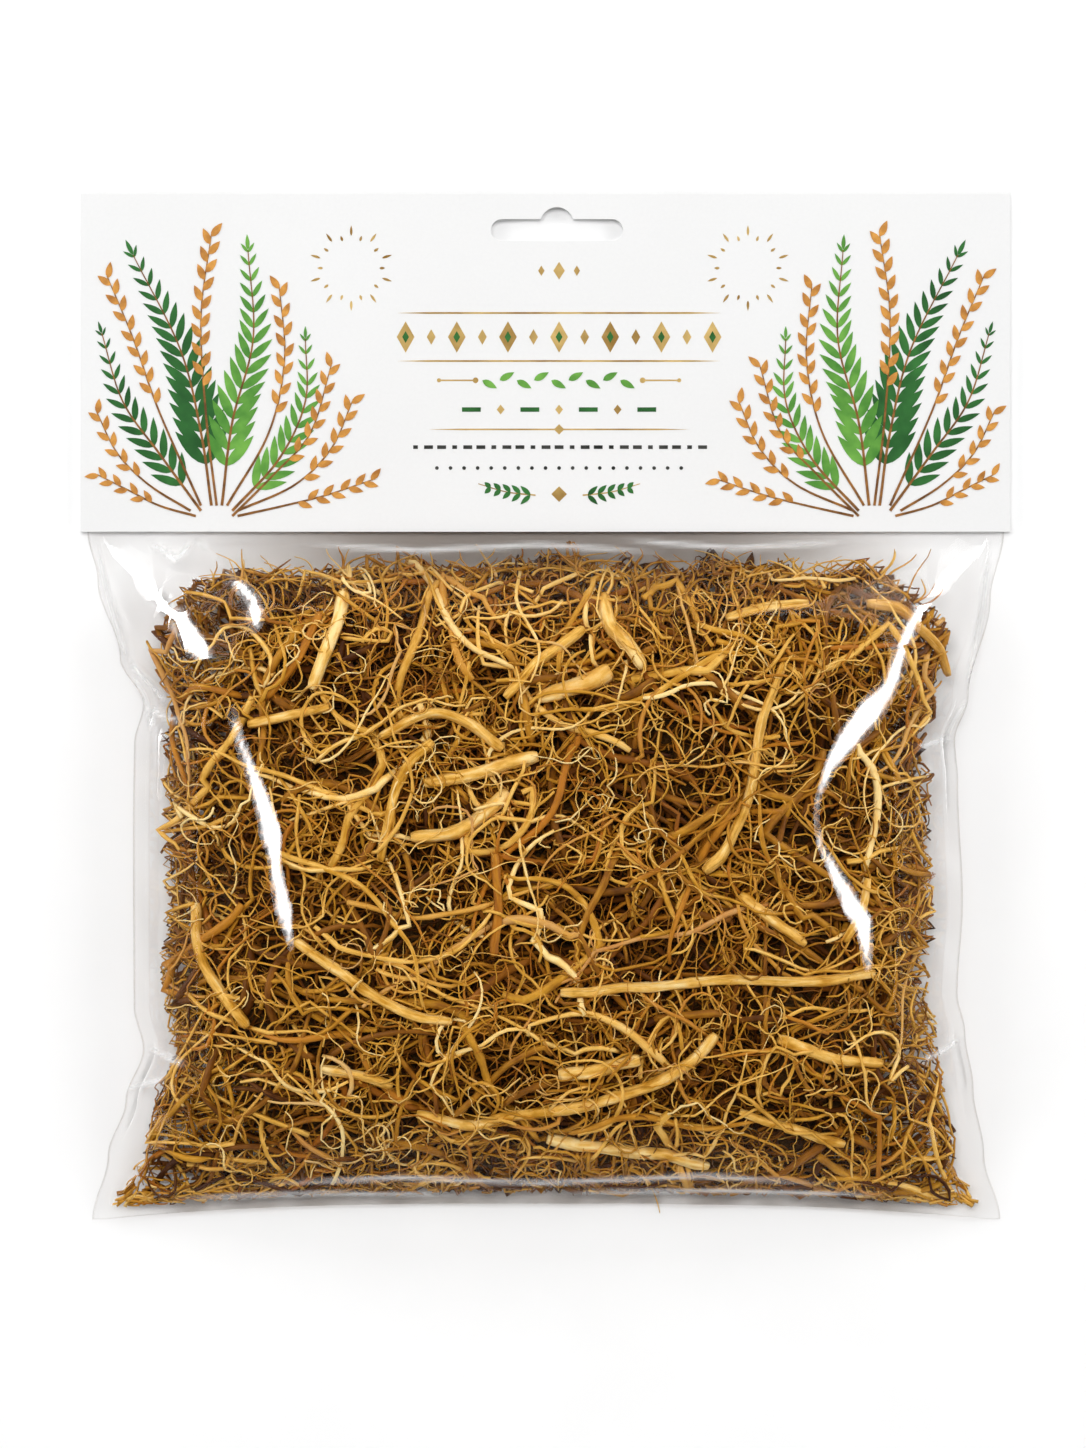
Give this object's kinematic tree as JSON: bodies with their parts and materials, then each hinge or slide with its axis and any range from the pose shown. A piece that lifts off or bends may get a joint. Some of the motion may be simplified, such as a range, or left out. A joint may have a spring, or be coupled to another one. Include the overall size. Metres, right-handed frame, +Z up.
{
  "type": "packet of dried vetiver root",
  "caption": "Hanging retail packet: a folded card header with a hang slot over a clear film bag filled with a springy tangle of dried vetiver root.",
  "frame": {"origin": "on the surface that the packet lies on, under the middle of its box", "axes": "+Y from the bag's bottom seal to the fold of the header card, +X along the card's width, +Z up out of the bag's front"},
  "size_m": [0.178, 0.1974, 0.029],
  "materials": {
    "card": "coated card, semi-gloss",
    "film": "clear gloss film",
    "fine_root": "dry fibrous root, matt",
    "thick_root": "dry ridged root, matt"
  },
  "bodies": {
    "root": {"header_card": "card", "clear_bag": "film", "root_tangle": "fine_root", "pale_stick": "thick_root", "brown_strand": "thick_root", "left_piece": "thick_root", "arched_root": "thick_root", "grey_stick": "thick_root", "banded_stick": "thick_root", "ribbed_stick": "thick_root", "slant_root": "thick_root", "crown_stump": "thick_root", "elbow_root": "thick_root", "upper_root": "thick_root", "hook_root": "thick_root", "right_runner": "thick_root", "short_root": "thick_root", "curled_root": "thick_root", "upright_strand": "thick_root", "level_root": "thick_root", "side_root": "thick_root", "left_runner": "thick_root", "low_strand": "thick_root", "long_curve": "thick_root", "pale_stub": "thick_root", "right_root": "thick_root", "low_right": "thick_root", "long_pale_root": "thick_root", "back_root_1": "thick_root", "back_root_2": "thick_root", "back_root_3": "thick_root", "back_root_4": "thick_root", "back_root_5": "thick_root", "back_root_6": "thick_root", "back_root_7": "thick_root", "back_root_8": "thick_root"}
  },
  "joints": []
}
